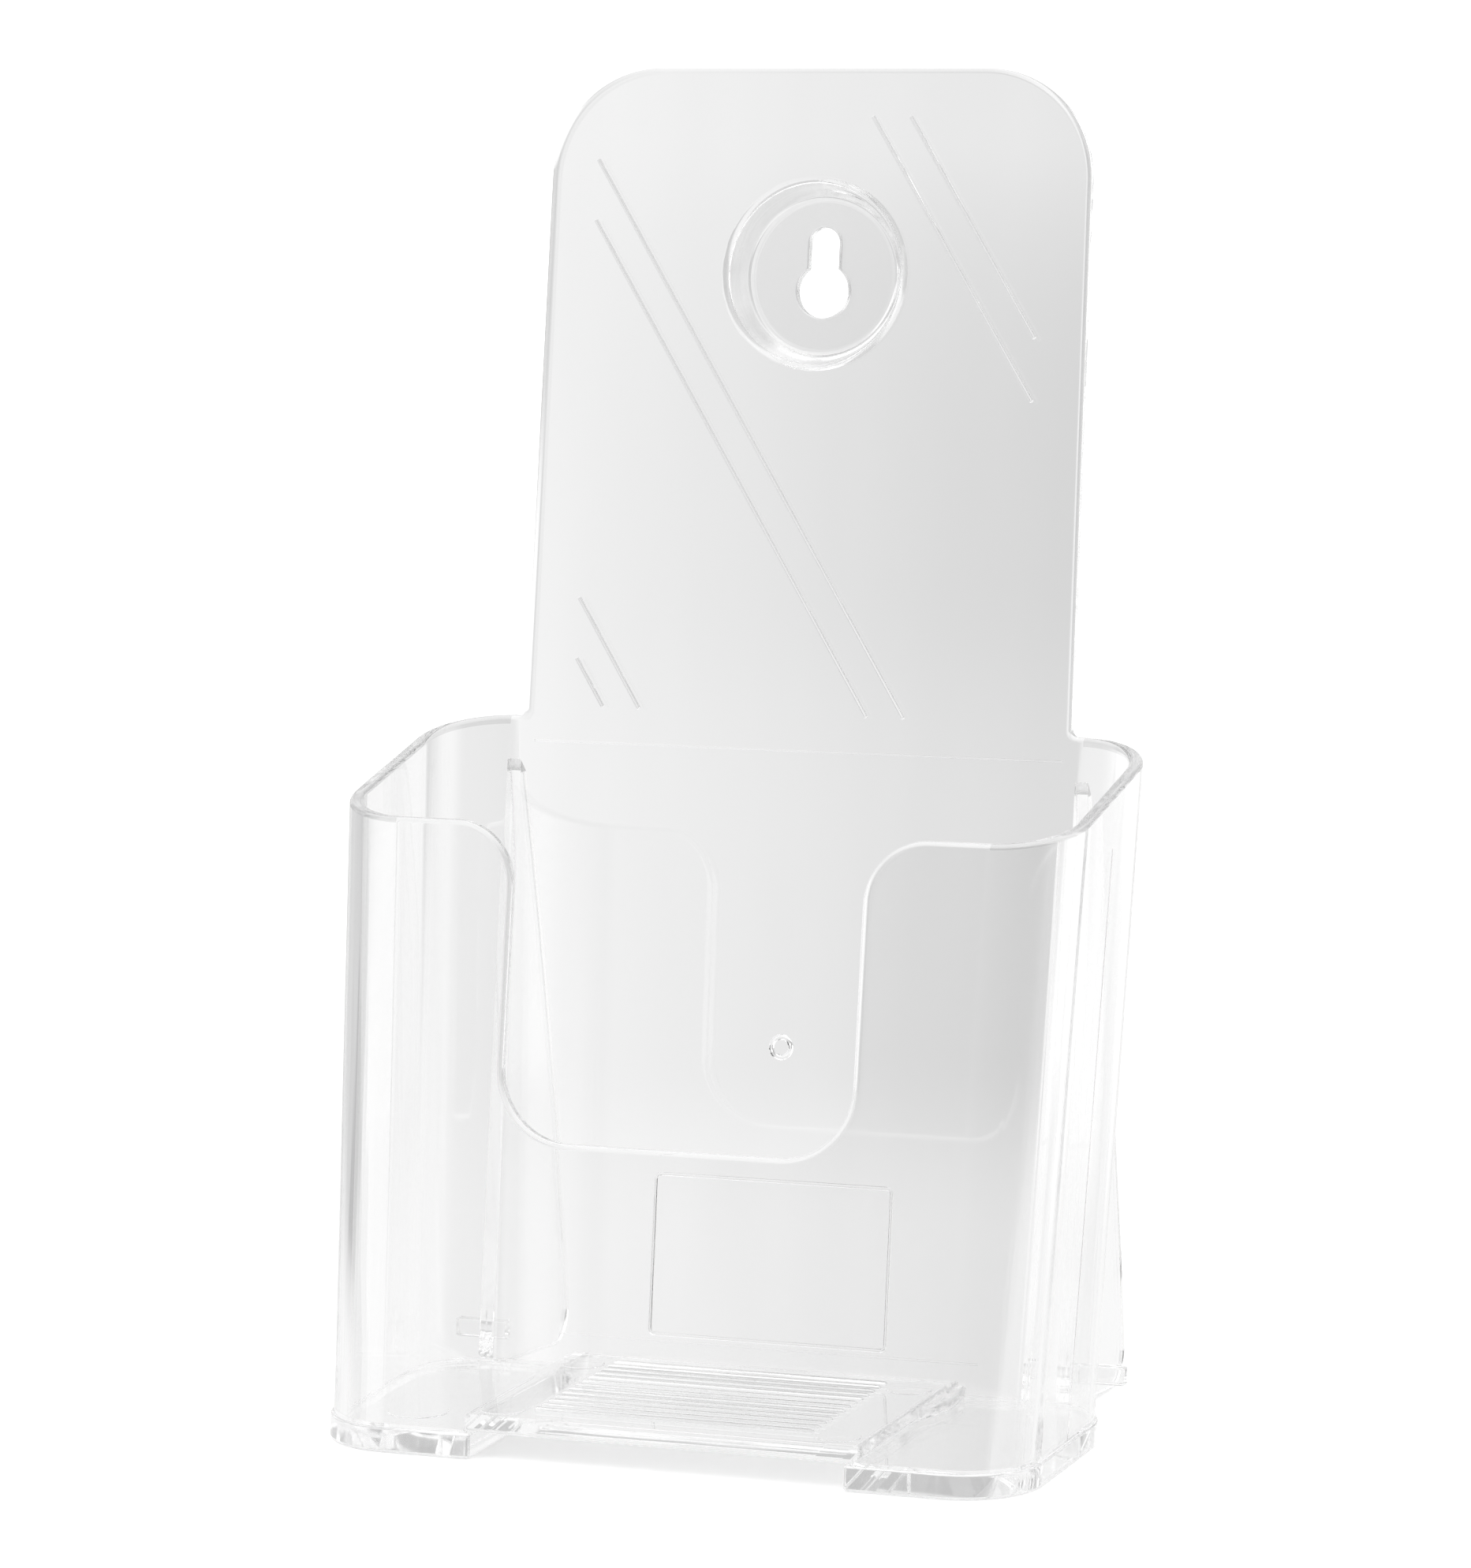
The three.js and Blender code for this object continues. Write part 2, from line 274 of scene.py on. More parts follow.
def shell_outline():
    """The unrolled wall's right half as seen from outside: its top edge, from the front's middle."""
    up = cos(FRONT_LEAN)
    rear_up = cos(REAR_LEAN)
    rim_up = FRONT_RIM / up
    inner_x = CUT_HALF - CUT_INNER_RADIUS
    inner_y = CUT_BOTTOM + CUT_INNER_RADIUS
    outer_x = CUT_HALF + CUT_OUTER_RADIUS
    outer_y = rim_up - CUT_OUTER_RADIUS
    front = [(0.0, CUT_BOTTOM)]
    front += arc(inner_x, inner_y, CUT_INNER_RADIUS, -90, 0, 16)
    front += arc(outer_x, outer_y, CUT_OUTER_RADIUS, 180, 90, 16)
    top = [(x / spread(h * up), h * up) for x, h in front]

    corner_walks = [FRONT_RUN + FRONT_TURN * k / CORNER_STEPS for k in range(CORNER_STEPS + 1)]
    corner_walks += [REAR_CORNER_START + REAR_TURN * k / CORNER_STEPS for k in range(CORNER_STEPS + 1)]
    top += [(s, rim_height(walk(s)[1] / BASE_DEPTH)) for s in corner_walks]

    lean_side = degrees(atan2(PANEL_FOOT_HALF - PANEL_TOP_HALF, PANEL_TOP - REAR_RIM))
    panel_top = PANEL_TOP / rear_up
    shoulder = REAR_RIM / rear_up
    fillet = SHOULDER_FILLET
    rear = arc(PANEL_FOOT_HALF + fillet, shoulder + fillet, fillet, 270, 180 + lean_side, 6)
    arc_x = PANEL_TOP_HALF - PANEL_RADIUS
    rear += arc(arc_x, panel_top - PANEL_RADIUS, PANEL_RADIUS, 0, 90, 24)
    top += [(HALF_ROUND - x / spread(h * rear_up), h * rear_up) for x, h in rear]
    return top


WALL_BELOW_PLATFORM = 0.1


def bottom_edge():
    """The lower edge's right half: below the platform, and hidden in the feet beside it."""
    low = FOOT_HEIGHT / 3
    step = mix(CHANNEL, PLATFORM_HALF, 0.5)
    high = PLATFORM_BOTTOM - WALL_BELOW_PLATFORM
    front = [(0.0, high), (step, high), (step, low)]
    return front + [(HALF_ROUND - x, z) for x, z in reversed(front)]


def mirrored_walk(path):
    return [(2 * HALF_ROUND - s, z) for s, z in reversed(path)]


def shell():
    """Pocket walls and panel: one strip with rounded edges, wrapped round and closed at the front."""
    right_top = shell_outline()
    right_bottom = bottom_edge()
    bottom = right_bottom + mirrored_walk(right_bottom)[1:]
    top = list(reversed(right_top + mirrored_walk(right_top)))
    curved = lambda s: FRONT_RUN <= min(s, 2 * HALF_ROUND - s) <= REAR_START

    def edge_inset(path, amount):
        """The open path moved into the wall. It stays on its column where the wall is curved."""
        moved = []
        for i, here in enumerate(path):
            before = path[max(i - 1, 0)]
            after = path[min(i + 1, len(path) - 1)]
            first = edge_normal(before, here) if i else edge_normal(here, after)
            second = edge_normal(here, after) if i < len(path) - 1 else first
            step = (first + second) * amount / (1 + first.dot(second))
            if i in (0, len(path) - 1) or curved(here[0]):
                step = Vector((0.0, amount / max(first.y, second.y, key=abs)))
            moved.append(Vector(here) - step)
        return moved

    bm = bmesh.new()
    layers = []
    for amount, depth in rounded(WALL, RIM_EDGE, 6):
        layer = [
            [bm.verts.new((p.x, p.y, depth)) for p in edge_inset(path, amount)]
            for path in (bottom, top)
        ]
        layers.append(layer)
    for (low_a, top_a), (low_b, top_b) in zip(layers, layers[1:]):
        for a, b in ((low_a, low_b), (top_a, top_b)):
            for i in range(len(a) - 1):
                bm.faces.new((a[i], a[i + 1], b[i + 1], b[i]))
    for low, high in (layers[0], layers[-1]):
        bm.faces.new(low + high)
    columns = []
    for start, turn in ((FRONT_RUN, FRONT_TURN), (REAR_CORNER_START, REAR_TURN)):
        columns += [start + turn * k / CORNER_STEPS for k in range(CORNER_STEPS + 1)]
    for s in columns + [2 * HALF_ROUND - s for s in columns]:
        everything = bm.verts[:] + bm.edges[:] + bm.faces[:]
        bmesh.ops.bisect_plane(bm, geom=everything, dist=1e-3, plane_co=(s, 0, 0), plane_no=(1, 0, 0))
    for v in bm.verts:
        v.co = wrapped(v.co.x, v.co.y, v.co.z)
    bmesh.ops.remove_doubles(bm, verts=bm.verts, dist=0.005 * MM)
    return mesh_object("rack", bm)


# ---------------------------------------------------------------- feet and platform


def mirrored(outline):
    return [(-x, y) for x, y in reversed(outline)]


FOOT_INNER_RADIUS = 0.6  # of the feet's corners beside the channel


def foot_outline():
    """The right foot in plan: the base outline with its lip, from the channel outwards."""
    outer = HALF_BASE + FOOT_LIP
    front_round = FRONT_RADIUS + FOOT_LIP
    rear_round = REAR_RADIUS + FOOT_LIP
    rear = BASE_DEPTH + FOOT_LIP
    small = FOOT_INNER_RADIUS
    points = arc(CHANNEL + small, small - FOOT_LIP, small, 180, 270, 3)
    points += arc(outer - front_round, FRONT_RADIUS, front_round, 270, 360, 16)
    points += arc(outer - rear_round, rear - rear_round, rear_round, 0, 90, 16)
    points += arc(CHANNEL + small, rear - small, small, 90, 180, 3)
    return points


def feet():
    outline = foot_outline()
    profile = rounded(FOOT_HEIGHT)
    return solids("feet", [(o, profile, leaned) for o in (outline, mirrored(outline))])


PLATE_CORNER = 0.2


def platform_plate():
    """The platform's flat plate. Its front and rear edges end inside the walls."""
    outline = rectangle(2 * PLATFORM_HALF, BASE_DEPTH - WALL, PLATE_CORNER, y=BASE_DEPTH / 2)
    profile = rounded(PLATFORM_TOP - PLATFORM_BOTTOM, SMALL_EDGE)
    return solids("plate", [(outline, profile, lambda x, y, z: leaned(x, y, PLATFORM_BOTTOM + z))])


# The platform's sides flare onto the feet towards the rear.
FLARE_FRONT = 27.0
FLARE_REAR = 33.5
FLARE_OUT = 1.7
FLARE_STEPS = 8
RISER_INNER = CHANNEL + 0.2
RISER_OUTER = PLATFORM_HALF - 0.15
RISER_EDGE = 0.45
RISER_ROOT = 1.0  # how deep the riser stands in the foot
RISER_BELOW_TOP = 0.6


def riser_outline():
    """The right riser in plan. It carries the platform on the foot."""
    front = WALL / 2
    rear = BASE_DEPTH - WALL / 2
    points = [(RISER_INNER, front), (RISER_OUTER, front)]
    for k in range(FLARE_STEPS + 1):
        share = k / FLARE_STEPS
        eased = share * share * (3 - 2 * share)
        points.append((RISER_OUTER + FLARE_OUT * eased, mix(FLARE_FRONT, FLARE_REAR, share)))
    points += [(RISER_OUTER + FLARE_OUT, rear), (RISER_INNER, rear)]
    return points


def risers():
    outline = riser_outline()
    base = FOOT_HEIGHT - RISER_ROOT
    profile = rounded(PLATFORM_TOP - RISER_BELOW_TOP - base, RISER_EDGE)
    place = lambda x, y, z: leaned(x, y, base + z)
    return solids("risers", [(o, profile, place) for o in (outline, mirrored(outline))])


RIB = {"count": 13, "pitch": 2.56, "width": 0.9, "height": 0.4, "length": 42.0, "first": 8.4}
RIB_CORNER = 0.3
RIB_DOME = 0.4


def ribs():
    parts = []
    for i in range(RIB["count"]):
        outline = rectangle(RIB["length"], RIB["width"], RIB_CORNER, y=RIB["first"] + i * RIB["pitch"])
        place = lambda x, y, depth: metres(x, y, PLATFORM_TOP - depth)
        parts.append((outline, domed(RIB["height"], RIB_DOME), place))
    return solids("ribs", parts)


MARK_HEIGHT = 0.15
FOOT_MARK = {"radius": 4.4, "x": -40.0, "y": 10.8}
PLATFORM_MARK = {"radius": 3.2, "x": 25.2, "front": 6.8, "rear": 37.0}


def ejector_marks():
    """The low round marks that the mould's ejector pins leave."""
    spots = [(FOOT_MARK["radius"], FOOT_MARK["x"], FOOT_MARK["y"], FOOT_HEIGHT)]
    for side in (-1, 1):
        for y in (PLATFORM_MARK["front"], PLATFORM_MARK["rear"]):
            spots.append((PLATFORM_MARK["radius"], side * PLATFORM_MARK["x"], y, PLATFORM_TOP))
    parts = []
    for radius, x, y, top in spots:
        place = lambda u, v, depth, top=top: metres(u, v, top - depth)
        parts.append((circle(x, y, radius, 40), domed(MARK_HEIGHT, MARK_HEIGHT), place))
    return solids("marks", parts)


# ---------------------------------------------------------------- fins and tabs

FIN_STEP = 2.2
FIN_BEVEL = 2.1  # how far the fin's blunt top slopes down
FIN_HEEL_RADIUS = 5.0
FIN_TOE = 1.6
FIN_CURVE_STEPS = 15
FIN_ABOVE_FOOT = 0.4


def fins():
    """The two support fins. The rear edge is one curve, from the blunt top to the round heel."""
    low, high = box_mm("right_fin")
    top = high.z
    reach = high.y - FRONT_Y
    thickness = high.x - low.x
    root = lambda z: rear_y(z) - WALL / 2
    foot_top = FOOT_HEIGHT + FIN_ABOVE_FOOT
    heel = (reach - FIN_HEEL_RADIUS, FIN_HEEL_RADIUS)
    start = (rear_y(top) + FIN_STEP, top - FIN_BEVEL)
    pull = (reach - FIN_HEEL_RADIUS, (top + FIN_HEEL_RADIUS) / 2)
    end = (reach, FIN_HEEL_RADIUS)
    outline = [(root(foot_top), foot_top), (rear_y(FIN_TOE) + 2 * WALL, FIN_TOE)]
    outline += arc(heel[0], heel[1], FIN_HEEL_RADIUS, -90, 0, 10)
    for k in range(1, FIN_CURVE_STEPS + 1):
        t = 1 - k / FIN_CURVE_STEPS
        a, b, c = (1 - t) ** 2, 2 * t * (1 - t), t * t
        outline.append(tuple(a * p + b * q + c * r for p, q, r in zip(start, pull, end)))
    outline += [(rear_y(top), top), (root(top), top)]
    parts = []
    for side in (-1, 1):
        middle = side * (low.x + high.x) / 2
        place = lambda y, z, x, m=middle: metres(m - thickness / 2 + x, y, z)
        parts.append((outline, rounded(thickness, SMALL_EDGE), place))
    return solids("fins", parts)


def tabs():
    """Short bars that run outwards from the fins, just above the ground."""
    low, high = box_mm("right_tab")
    fin_middle = sum(v.x for v in box_mm("right_fin")) / 2
    width = high.x - fin_middle
    parts = []
    for side in (-1, 1):
        middle = side * (fin_middle + width / 2)
        outline = rectangle(width, high.z - low.z, SMALL_EDGE, x=middle, y=(low.z + high.z) / 2)
        place = lambda x, z, depth: metres(x, low.y - FRONT_Y + depth, z)
        parts.append((outline, rounded(high.y - low.y, SMALL_EDGE), place))
    return solids("tabs", parts)


# ---------------------------------------------------------------- the cup and its keyhole

CUP_CENTRE = 165.2
CUP_MOUTH = 14.2
CUP_FLOOR_RADIUS = 11.1
CUP_REAR_RADIUS = 12.8
CUP_SUNK = 4.4
CUP_FLOOR = 1.6
CUP_LIP = 1.0  # rounding at the mouth
CUP_FILLET = 0.6  # rounding round the floor
KEYHOLE = {"round": 3.95, "round_at": 163.0, "slot": 2.3, "slot_at": 170.0}


def cup_body():
    """The cup's outside, which stands behind the panel."""
    rear = CUP_SUNK + CUP_FLOOR
    taper = CUP_MOUTH - CUP_REAR_RADIUS
    profile = [(0.0, WALL / 2), (0.0, WALL)]
    for k in range(4):
        t = pi / 2 * k / 3
        profile.append((taper + EDGE * (1 - cos(t)), rear - EDGE * (1 - sin(t))))
    return solids("cup", [(circle(0, CUP_CENTRE, CUP_MOUTH), profile, on_rear)])


def cup_hollow():
    """What is cut out of the cup: a round lip at the mouth, a cone, and a small round at the floor."""
    lip = CUP_LIP
    fillet = CUP_FILLET
    throat = CUP_MOUTH - lip
    profile = [(-lip, -WALL / 2)]
    for k in range(7):
        t = pi / 2 * k / 6
        profile.append((-lip * (1 - sin(t)), lip * (1 - cos(t))))
    cone = throat - CUP_FLOOR_RADIUS
    for k in range(5):
        t = pi / 2 * k / 4
        profile.append((cone - fillet + fillet * (1 - cos(t)), CUP_SUNK - fillet * (1 - sin(t))))
    return solids("hollow", [(circle(0, CUP_CENTRE, throat, 96), profile, on_rear)])


def keyhole_outline():
    half = degrees(asin(KEYHOLE["slot"] / KEYHOLE["round"]))
    points = arc(0, KEYHOLE["round_at"], KEYHOLE["round"], 90 + half, 450 - half, 36)
    return points + arc(0, KEYHOLE["slot_at"], KEYHOLE["slot"], 0, 180, 14)


KEYHOLE_OVER = 0.5  # how far the cutter stands out of the cup's floor


def keyhole_cutter():
    """What is cut out of the cup's floor. It widens at both ends, which rounds the keyhole's edges."""
    over = KEYHOLE_OVER
    radius = SMALL_EDGE
    profile = [(-radius, CUP_SUNK - over)]
    turns = [pi / 2 * k / 3 for k in range(4)]
    near = [(-radius * (1 - sin(t)), radius * (1 - cos(t))) for t in turns]
    profile += [(amount, CUP_SUNK + depth) for amount, depth in near]
    profile += [(amount, CUP_SUNK + CUP_FLOOR - depth) for amount, depth in reversed(near)]
    profile.append((-radius, CUP_SUNK + CUP_FLOOR + over))
    return solids("keyhole", [(keyhole_outline(), profile, on_rear)])


# ---------------------------------------------------------------- raised lines

GLINT_SLANT = radians(32.4)
GLINT_OFFSETS = [112.7, 107.8, 68.3, 63.5, 33.6, 28.8]
GLINT_FRAME = {"half": 34.4, "low": 100.7, "high": 188.2}
GLINT_WIDTH = 0.6
GLINT_HEIGHT = 0.42
GLINT_CORNER = 0.25
GLINT_DOME = 0.26


def glints():
    """Pairs of slanted ridges on the panel, all clipped by one frame."""
    along = Vector((sin(GLINT_SLANT), -cos(GLINT_SLANT)))
    across = Vector((cos(GLINT_SLANT), sin(GLINT_SLANT)))
    parts = []
    for offset in GLINT_OFFSETS:
        near = across * offset
        from_side = (-GLINT_FRAME["half"] - near.x) / along.x
        from_top = (GLINT_FRAME["high"] - near.y) / along.y
        to_side = (GLINT_FRAME["half"] - near.x) / along.x
        to_bottom = (GLINT_FRAME["low"] - near.y) / along.y
        start = max(from_side, from_top)
        end = min(to_side, to_bottom)
        flat = rectangle(end - start, GLINT_WIDTH, GLINT_CORNER)
        middle = near + along * (start + end) / 2
        outline = [tuple(middle + along * u + across * v) for u, v in flat]
        parts.append((outline, domed(GLINT_HEIGHT, GLINT_DOME), on_rear))
    return solids("glints", parts)


LABEL = {"width": 37.0, "height": 24.0, "centre": 20.9, "line": 0.5, "radius": 1.0, "raised": 0.3}
GATE = {"centre": 52.2, "outer": 1.9, "inner": 1.1, "raised": 0.55}


def ring_profile(width, height, steps=4):
    """A closed profile for a raised line: rooted square, with a round top."""
    half = width / 2
    turns = [pi * k / steps for k in range(steps + 1)]
    top = [(half - half * cos(t), height * sin(t)) for t in turns]
    return [(0.0, -SUNK)] + top + [(width, -SUNK)]


def rear_marks():
    """The label outline and the gate mark, on the rear wall's rear face."""
    behind = lambda x, h, raised: on_rear(x, h, WALL + raised)
    label = rectangle(LABEL["width"], LABEL["height"], LABEL["radius"], y=LABEL["centre"])
    gate = circle(0, GATE["centre"], GATE["outer"], 32)
    return solids("rear_marks", [
        (label, ring_profile(LABEL["line"], LABEL["raised"]), behind, True),
        (gate, ring_profile(GATE["outer"] - GATE["inner"], GATE["raised"]), behind, True),
    ])


WITNESS_RAISED = 0.08
WITNESS_WIDTH = 0.3
WITNESS_DOME = 0.12
WITNESS_CORNER = 0.1
WITNESS_BELOW_RIM = 3.0
WITNESS_ACROSS = ((82.0, 95.5), (65.0, 8.2))  # length, and height up the rear wall


def witness_lines():
    """Faint witness ridges: up each side, and across the rear wall, low and high."""
    profile = domed(WITNESS_RAISED, WITNESS_DOME)
    side_middle = SIDE_START + BASE_DEPTH / 2 - FRONT_RADIUS
    height = FRONT_RIM - FOOT_HEIGHT - WITNESS_BELOW_RIM
    middle = FOOT_HEIGHT + height / 2
    upright = rectangle(WITNESS_WIDTH, height, WITNESS_CORNER, x=side_middle, y=middle, steps=2)
    parts = [(upright, profile, wrapped)]
    parts.append(([(2 * HALF_ROUND - s, z) for s, z in reversed(upright)], profile, wrapped))
    behind = lambda x, h, depth: on_rear(x, h, WALL - depth)
    for length, up in WITNESS_ACROSS:
        level = rectangle(length, WITNESS_WIDTH, WITNESS_CORNER, y=up, steps=2)
        parts.append((level, profile, behind))
    return solids("witness", parts)


# ---------------------------------------------------------------- one clear body


SHARP_FROM = radians(36)
FACE_WEIGHT = 50


def combine(base, tool, operation):
    """Joins the tool to the base, or cuts it out, and deletes the tool."""
    modifier = base.modifiers.new("combine", "BOOLEAN")
    modifier.object = tool
    modifier.operation = operation
    modifier.solver = "MANIFOLD"
    evaluated = base.evaluated_get(bpy.context.evaluated_depsgraph_get())
    mesh = bpy.data.meshes.new_from_object(evaluated)
    base.modifiers.clear()
    base.data = mesh
    bpy.data.objects.remove(tool)


def build_rack():
    """The whole moulding as one mesh, with smooth roundings and crisp edges."""
    rack = shell()
    for make in (feet, platform_plate, risers, fins, tabs, cup_body):
        combine(rack, make(), "UNION")
    for make in (cup_hollow, keyhole_cutter):
        combine(rack, make(), "DIFFERENCE")
    for make in (ribs, ejector_marks, glints, rear_marks, witness_lines):
        combine(rack, make(), "UNION")
    mesh = rack.data
    mesh.shade_smooth()
    mesh.set_sharp_from_angle(angle=SHARP_FROM)
    weighted = rack.modifiers.new("normals", "WEIGHTED_NORMAL")
    weighted.keep_sharp = True
    weighted.weight = FACE_WEIGHT
    rack.name = "clear_rack"
    return rack


# ---------------------------------------------------------------- nodes and materials


def add_node(tree, kind, inputs=(), **settings):
    """A new node. inputs pairs each input's name or number with a value or a socket."""
    made = tree.nodes.new(kind)
    for name, value in settings.items():
        setattr(made, name, value)
    for key, value in dict(inputs).items():
        if isinstance(value, bpy.types.NodeSocket):
            tree.links.new(value, made.inputs[key])
        else:
            made.inputs[key].default_value = value
    return made


def calculate(tree, operation, *values):
    return add_node(tree, "ShaderNodeMath", enumerate(values), operation=operation).outputs[0]


def ease(tree, value, start, end, low=0.0, high=1.0):
    """Goes smoothly from low to high as value goes from start to end."""
    inputs = {"Value": value, "From Min": start, "From Max": end, "To Min": low, "To Max": high}
    made = add_node(tree, "ShaderNodeMapRange", inputs, interpolation_type="SMOOTHSTEP")
    return made.outputs["Result"]


def blend(tree, share, a, b):
    inputs = {0: share, 2: a, 3: b}
    return add_node(tree, "ShaderNodeMix", inputs, data_type="FLOAT").outputs[0]


def vector_length(tree, vector):
    return add_node(tree, "ShaderNodeVectorMath", {0: vector}, operation="LENGTH").outputs["Value"]


def noise(tree, place, scales, detail):
    """Smooth noise from 0 to 1. scales is how many bumps there are in a metre along X, Y and Z."""
    stretched = add_node(tree, "ShaderNodeMapping", {"Vector": place, "Scale": scales})
    inputs = {"Vector": stretched.outputs[0], "Scale": 1.0, "Detail": detail}
    return add_node(tree, "ShaderNodeTexNoise", inputs).outputs["Fac"]


FLOW_SCALES = (70.0, 70.0, 5.0)  # the flow marks are tall and narrow
FLOW_HEIGHT = 0.02
MOTTLE_SCALES = (160.0, 160.0, 160.0)
MOTTLE_HEIGHT = 0.003
GRAIN_SCALES = (900.0, 900.0, 900.0)
REFRACTIVE_INDEX = 1.57
# What a noise turns into: its own start and end, then the values that these give.
MOTTLE_ROUGHNESS = (0.35, 0.75, 0.0, 0.03)
GRAIN_ROUGHNESS = (0.3, 0.8, 0.01, 0.02)
FLOW_TINT = (0.3, 0.7, 0.955, 0.968)
FROST = 0.35  # roughness of the fins' blunt tops, which are frosted; the tint on the next line is painted shade that greys them
FIN_TOP_PAINTED_SHADE = 0.5
RIM_HAZE = 0.05  # roughness of the side rims; the tint on the next line is painted shade that makes them look darker
RIM_PAINTED_SHADE = 0.70
CUP_HAZE = 0.12  # roughness of the cup's floor; the tint on the next line is painted shade that darkens it
CUP_FLOOR_PAINTED_SHADE = 0.90
FIN_CLEAR = 0.1  # margins, in millimetres, that keep each of these on its own feature
RIM_CLEAR = 2.0
CUP_CLEAR = 0.3


def fin_tops(tree, place):
    """1 on the sloping tops of the two fins, and 0 elsewhere: where their frosting and painted shade
    go.
    """
    low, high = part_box("right_fin")
    x, y, z = add_node(tree, "ShaderNodeSeparateXYZ", {0: place}).outputs
    aside = calculate(tree, "ABSOLUTE", x)
    across = calculate(tree, "COMPARE", aside, (low.x + high.x) / 2, (high.x - low.x) / 2)
    down = calculate(tree, "COMPARE", z, high.z - FIN_BEVEL * MM / 2, FIN_BEVEL * MM / 2)
    wall_start = (BASE_DEPTH + FRONT_Y + FIN_CLEAR) * MM
    wall_back = calculate(tree, "MULTIPLY_ADD", z, tan(REAR_LEAN), wall_start)
    behind = calculate(tree, "GREATER_THAN", y, wall_back)
    return calculate(tree, "MULTIPLY", calculate(tree, "MULTIPLY", across, down), behind)


def side_rims(tree, place):
    """1 on the rim at the pocket's sides, and 0 elsewhere: where the rims' roughness and painted shade
    go.
    """
    x, y, z = add_node(tree, "ShaderNodeSeparateXYZ", {0: place}).outputs
    front, rear = ((FRONT_Y + depth) * MM for depth in (front_y(FRONT_RIM), rear_y(REAR_RIM)))
    rise = (REAR_RIM - FRONT_RIM) * MM / (rear - front)
    rim = calculate(tree, "MULTIPLY_ADD", y, rise, FRONT_RIM * MM - rise * front - RIM_EDGE * MM)
    high = calculate(tree, "GREATER_THAN", z, rim)
    aside = calculate(tree, "ABSOLUTE", x)
    outer = calculate(tree, "GREATER_THAN", aside, (PANEL_FOOT_HALF + RIM_CLEAR) * MM)
    return calculate(tree, "MULTIPLY", high, outer)


def cup_floor(tree, place):
    """1 on the floor of the cup, and 0 elsewhere: where its roughness and painted shade go."""
    middle = on_rear(0.0, CUP_CENTRE, CUP_SUNK + CUP_FLOOR / 2)
    offset = add_node(tree, "ShaderNodeVectorMath", {0: place, 1: middle}, operation="SUBTRACT")
    reach = vector_length(tree, offset.outputs[0])
    return calculate(tree, "LESS_THAN", reach, (CUP_FLOOR_RADIUS - CUP_CLEAR) * MM)


def clear_plastic():
    """Colourless polystyrene: clear and glossy, with faint flow marks, mottle and haze. The fin tops,
    side rims and cup floor also get painted shade, a darker tint.
    """
    material = bpy.data.materials.new("clear_polystyrene")
    material.use_nodes = True
    tree = material.node_tree
    shader = tree.nodes["Principled BSDF"]
    shader.inputs["IOR"].default_value = REFRACTIVE_INDEX
    shader.inputs["Transmission Weight"].default_value = 1.0
    place = add_node(tree, "ShaderNodeTexCoord").outputs["Object"]
    flow = noise(tree, place, FLOW_SCALES, 1.0)
    mottle = noise(tree, place, MOTTLE_SCALES, 0.0)
    grain = noise(tree, place, GRAIN_SCALES, 1.0)
    height = calculate(tree, "MULTIPLY", flow, FLOW_HEIGHT)
    height = calculate(tree, "MULTIPLY_ADD", mottle, MOTTLE_HEIGHT, height)
    bump = add_node(tree, "ShaderNodeBump", {"Height": height, "Distance": MM, "Strength": 1.0})
    tree.links.new(bump.outputs[0], shader.inputs["Normal"])
    speckle = ease(tree, mottle, *MOTTLE_ROUGHNESS)
    rough = calculate(tree, "ADD", speckle, ease(tree, grain, *GRAIN_ROUGHNESS))
    tint = ease(tree, flow, *FLOW_TINT)
    patches = (
        (fin_tops, FROST, FIN_TOP_PAINTED_SHADE),
        (side_rims, RIM_HAZE, RIM_PAINTED_SHADE),
        (cup_floor, CUP_HAZE, CUP_FLOOR_PAINTED_SHADE),
    )
    # each patch's roughness is real; its darker tint is painted shade
    for patch, haze, grey in patches:
        share = patch(tree, place)
        rough = blend(tree, share, rough, haze)
        tint = blend(tree, share, tint, grey)
    tree.links.new(rough, shader.inputs["Roughness"])
    colour = add_node(tree, "ShaderNodeCombineColor", {0: tint, 1: tint, 2: tint})
    tree.links.new(colour.outputs[0], shader.inputs["Base Color"])
    return material


# ---------------------------------------------------------------- stage, light and camera

AZIMUTH = radians(20.59)
ELEVATION = radians(7.70)
ROLL = radians(-0.39)
DISTANCE = 0.896
AIM = Vector((-0.00269, 0.0034, 0.09153))
LENS = 143.25
SENSOR = 36
TRIPOD = AIM + Vector((sin(AZIMUTH), -cos(AZIMUTH), 0)) * DISTANCE * cos(ELEVATION)

# Brightness of what the clear plastic shows. A pair is for the left and the right of the view.
BACKDROP = (0.91, 0.90)  # far behind the rack
MIDWAY = (0.95, 0.755)  # on the floor, about a metre behind it
CLOSE = (0.96, 0.82)  # on the floor, close behind it
BESIDE_NEAR = (0.70, 1.14)  # on either side of the backdrop, within about a metre
BESIDE_FAR = (0.62, 0.68)
NEAR_FLOOR = 0.98  # under and around the rack
REAR_LOW = 0.88  # above the backdrop
REAR_HIGH = 0.62
SIDES = 1.10
FRONT = 0.08  # the dark room around the camera
SOFTBOX = 1.75
CEILING = 1.60

# Where one brightness gives way to the next. Bearings are radians to the right of the camera's view.
BACKDROP_GRADE = (-0.08, 0.07)  # bearing
BACKDROP_EDGE = (0.08, 0.14)  # bearing, to either side
MIDDLE = (-0.02, 0.02)  # bearing
CLOSE_TO_MIDWAY = (0.5, 1.3)  # metres from the rack
MIDWAY_TO_FAR = (1.5, 6.0)
BESIDE_FALL = (0.8, 2.0)
NEAR_EDGE = (0.3, 0.12)
LOW_RISE = (0.04, 0.12)  # sine of the elevation
HIGH_RISE = (0.28, 0.42)
CEILING_RISE = (0.6, 0.8)
TO_SIDES = (0.9, 1.4)  # bearing, to either side
TO_FRONT = (2.0, 2.5)
SOFTBOX_START = (-2.50, -2.30)  # bearing
SOFTBOX_END = (-1.1, -1.4)

